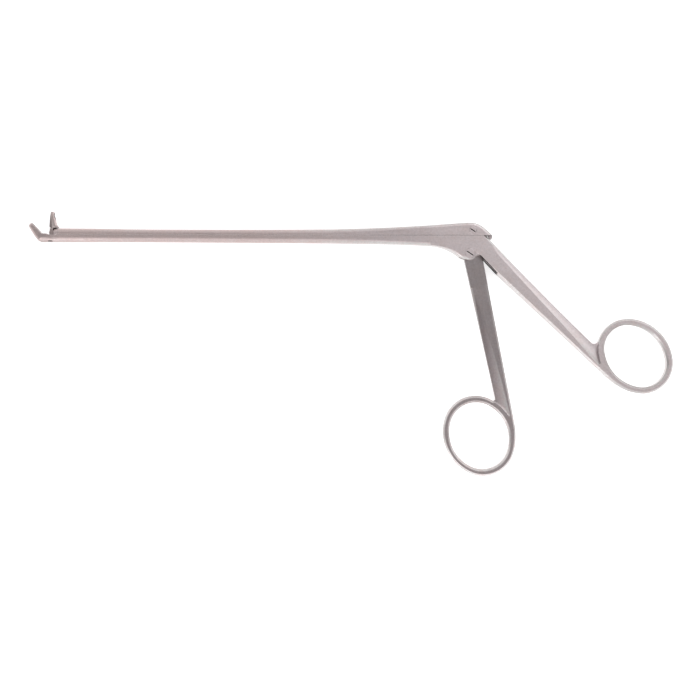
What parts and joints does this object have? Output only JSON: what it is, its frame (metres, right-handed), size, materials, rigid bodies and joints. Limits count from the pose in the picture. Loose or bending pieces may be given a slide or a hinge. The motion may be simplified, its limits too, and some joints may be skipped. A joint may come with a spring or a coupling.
{
  "type": "intervertebral disc rongeur",
  "caption": "Slender sliding-shaft grasping instrument with cup jaws bent upward at the tip, worked by a pivoting front ring handle against a fixed rear one.",
  "frame": {"origin": "on the handle pivot axis, in the plane of the lower cheek of the head", "axes": "+Z through the thickness of the instrument, which lies on its side; X along the shaft, negative toward the jaws; +Y from the finger rings toward the sliding shaft"},
  "size_m": [0.2633, 0.1077, 0.0076],
  "materials": {
    "satin_steel": "satin, fine-brushed stainless steel",
    "screw_steel": "satin stainless steel, ground flush"
  },
  "bodies": {
    "fixed": {"fixed_shaft": "satin_steel", "handle_pivot_screw": "screw_steel", "jaw_pivot_pin": "screw_steel"},
    "slide": {"sliding_shaft": "satin_steel", "slide_link_screw": "screw_steel", "jaw_drive_pin": "screw_steel"},
    "handle": {"front_handle": "satin_steel"},
    "jaw": {"upper_jaw": "satin_steel"}
  },
  "joints": [
    {"name": "handle_squeeze", "type": "hinge", "parent": "fixed", "child": "handle", "pos_m": [0, 0, 0.0038], "axis": [0, 0, 1], "range_deg": [0, 16]},
    {"name": "shaft_slide", "type": "slide", "parent": "fixed", "child": "slide", "axis": [-1, 0, 0], "range_m": [0, 0.00264]},
    {"name": "jaw_close", "type": "hinge", "parent": "fixed", "child": "jaw", "pos_m": [-0.1701, 0.00525, 0.0038], "axis": [0, 0, 1], "range_deg": [0, 47.15]}
  ],
  "couplings": [
    {"joint": "shaft_slide", "follows": "handle_squeeze", "m_per_rad": 0.009469},
    {"joint": "jaw_close", "follows": "handle_squeeze", "ratio": 2.9467}
  ]
}
